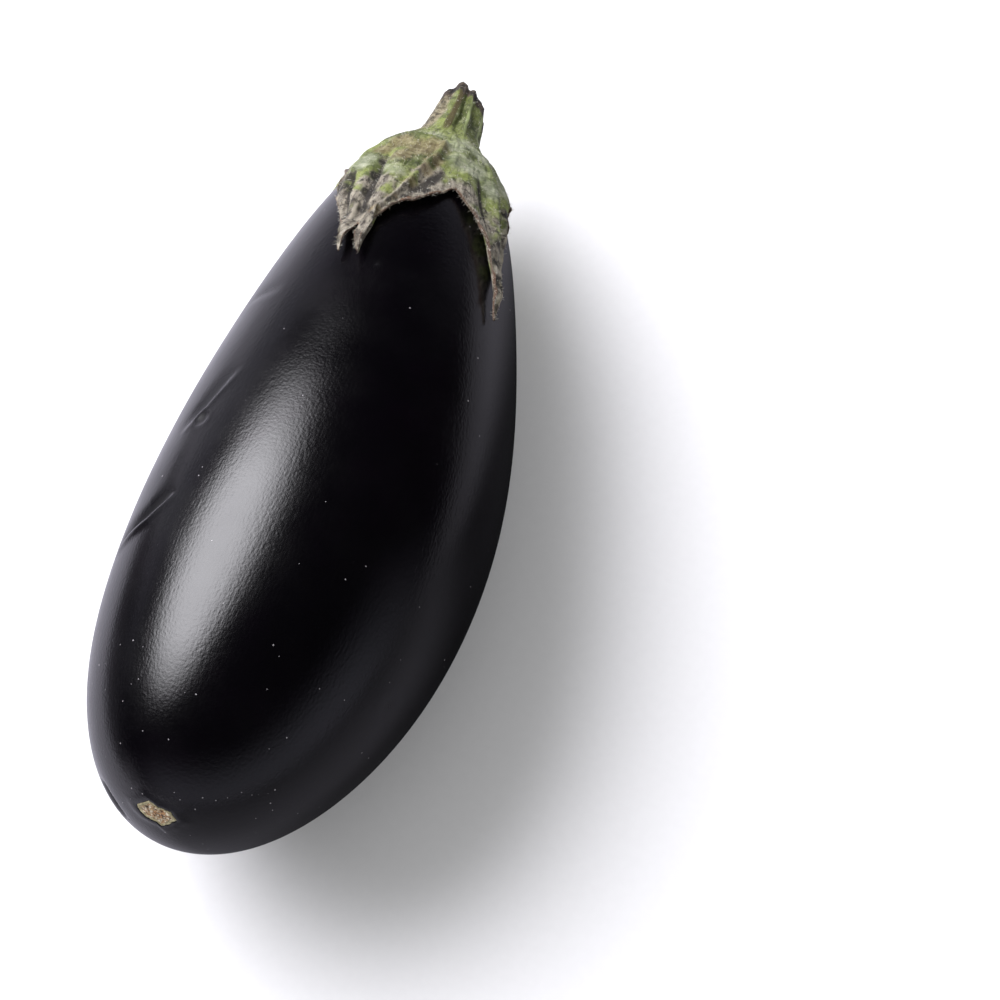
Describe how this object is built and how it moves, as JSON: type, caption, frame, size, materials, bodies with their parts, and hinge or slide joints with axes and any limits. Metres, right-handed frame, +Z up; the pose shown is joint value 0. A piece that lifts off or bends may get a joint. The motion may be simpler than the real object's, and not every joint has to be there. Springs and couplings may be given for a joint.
{
  "type": "eggplant",
  "caption": "Whole dark purple eggplant as picked, lying on its side, with its green calyx and a short cut stem; a still-life or kitchen prop.",
  "frame": {"origin": "middle of the whole object's box in X and Y, on the surface that it lies on", "axes": "+Z up from the surface; +Y along the fruit towards the stem; the fruit bows towards +X"},
  "size_m": [0.082, 0.2126, 0.0821],
  "materials": {
    "skin": "gloss",
    "calyx": "matte",
    "stem": "matte"
  },
  "bodies": {
    "root": {"fruit": "skin", "calyx": "calyx", "stem": "stem"}
  },
  "joints": []
}
